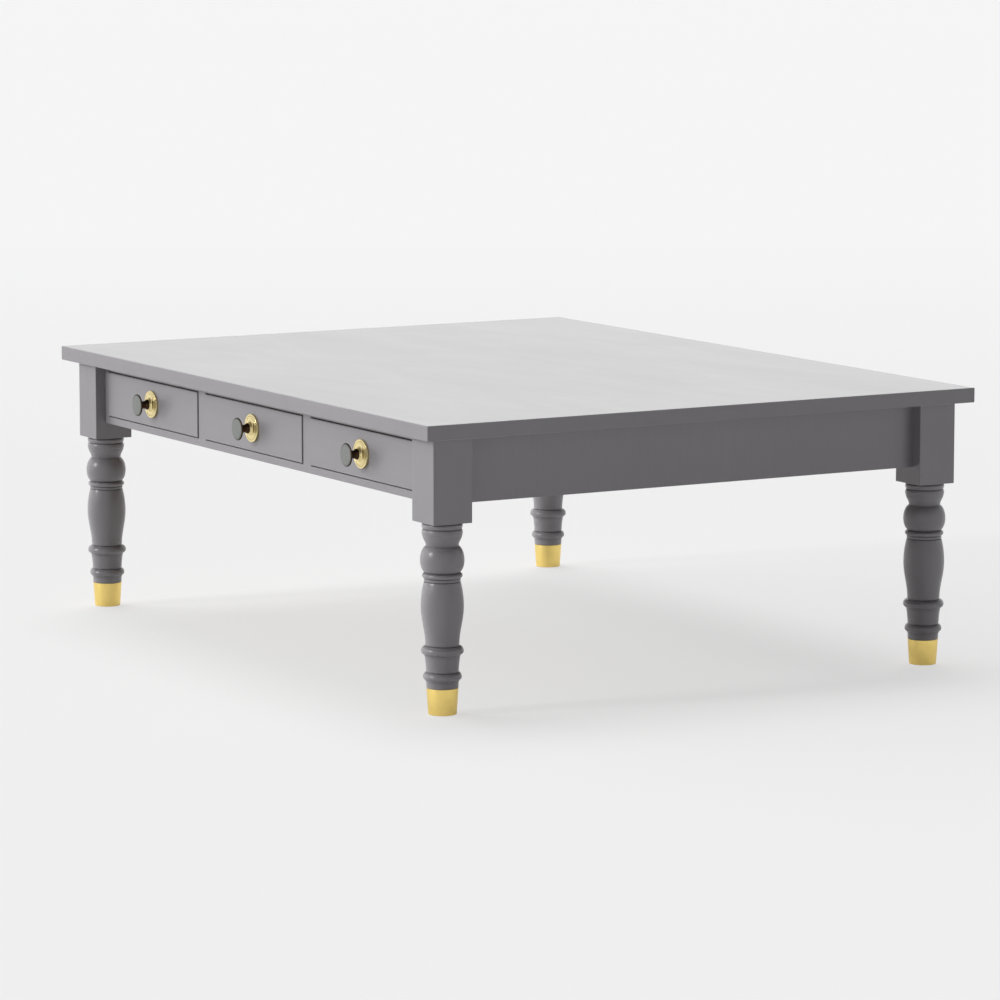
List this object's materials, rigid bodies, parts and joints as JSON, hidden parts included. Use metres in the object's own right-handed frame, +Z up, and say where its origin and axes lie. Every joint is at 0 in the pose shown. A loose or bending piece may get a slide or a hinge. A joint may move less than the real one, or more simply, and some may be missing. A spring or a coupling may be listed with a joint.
{
  "type": "coffee table",
  "caption": "Low rectangular coffee table with a thin overhanging top, turned legs in metal ferrules and drawers with round knobs in one long side.",
  "frame": {"origin": "on the floor, under the middle of the top", "axes": "+Z up, +X along the long side, the drawers open towards -Y"},
  "size_m": [1.3, 1, 0.45],
  "materials": {
    "grey_paint": "satin grey paint on wood",
    "bare_wood": "sanded, unpainted hardwood",
    "plywood": "unpainted plywood",
    "brass": "polished, lacquered brass",
    "dark_bronze": "dark patinated bronze",
    "steel": "zinc plated",
    "felt": "pressed felt",
    "nylon": "matt nylon"
  },
  "bodies": {
    "table": {"table_top": "grey_paint", "leg_front_left": "grey_paint", "leg_front_right": "grey_paint", "leg_back_left": "grey_paint", "leg_back_right": "grey_paint", "apron_left": "grey_paint", "apron_right": "grey_paint", "apron_back": "grey_paint", "front_top_rail": "grey_paint", "front_bottom_rail": "grey_paint", "divider_left": "grey_paint", "divider_right": "grey_paint", "end_stile_left": "grey_paint", "end_stile_right": "grey_paint", "middle_rail": "bare_wood", "cross_brace": "bare_wood", "drawer_stops": "bare_wood", "top_buttons": "bare_wood", "runner_inner_left": "bare_wood", "runner_outer_left": "bare_wood", "guide_inner_left": "bare_wood", "guide_outer_left": "bare_wood", "kicker_inner_left": "bare_wood", "kicker_outer_left": "bare_wood", "runner_inner_right": "bare_wood", "runner_outer_right": "bare_wood", "guide_inner_right": "bare_wood", "guide_outer_right": "bare_wood", "kicker_inner_right": "bare_wood", "kicker_outer_right": "bare_wood", "ferrules": "brass", "floor_glides": "felt"},
    "drawer_left": {"drawer_left_front": "grey_paint", "drawer_left_side_left": "bare_wood", "drawer_left_side_right": "bare_wood", "drawer_left_back": "bare_wood", "drawer_left_bottom": "plywood", "backplate_left": "brass", "knob_left": "dark_bronze", "knob_screw_left": "steel", "catch_left": "nylon"},
    "drawer_centre": {"drawer_centre_front": "grey_paint", "drawer_centre_side_left": "bare_wood", "drawer_centre_side_right": "bare_wood", "drawer_centre_back": "bare_wood", "drawer_centre_bottom": "plywood", "backplate_centre": "brass", "knob_centre": "dark_bronze", "knob_screw_centre": "steel", "catch_centre": "nylon"},
    "drawer_right": {"drawer_right_front": "grey_paint", "drawer_right_side_left": "bare_wood", "drawer_right_side_right": "bare_wood", "drawer_right_back": "bare_wood", "drawer_right_bottom": "plywood", "backplate_right": "brass", "knob_right": "dark_bronze", "knob_screw_right": "steel", "catch_right": "nylon"}
  },
  "joints": [
    {"name": "drawer_left_slide", "type": "slide", "parent": "table", "child": "drawer_left", "axis": [0, -1, 0], "range_m": [0, 0.364]},
    {"name": "drawer_centre_slide", "type": "slide", "parent": "table", "child": "drawer_centre", "axis": [0, -1, 0], "range_m": [0, 0.364]},
    {"name": "drawer_right_slide", "type": "slide", "parent": "table", "child": "drawer_right", "axis": [0, -1, 0], "range_m": [0, 0.364]}
  ]
}
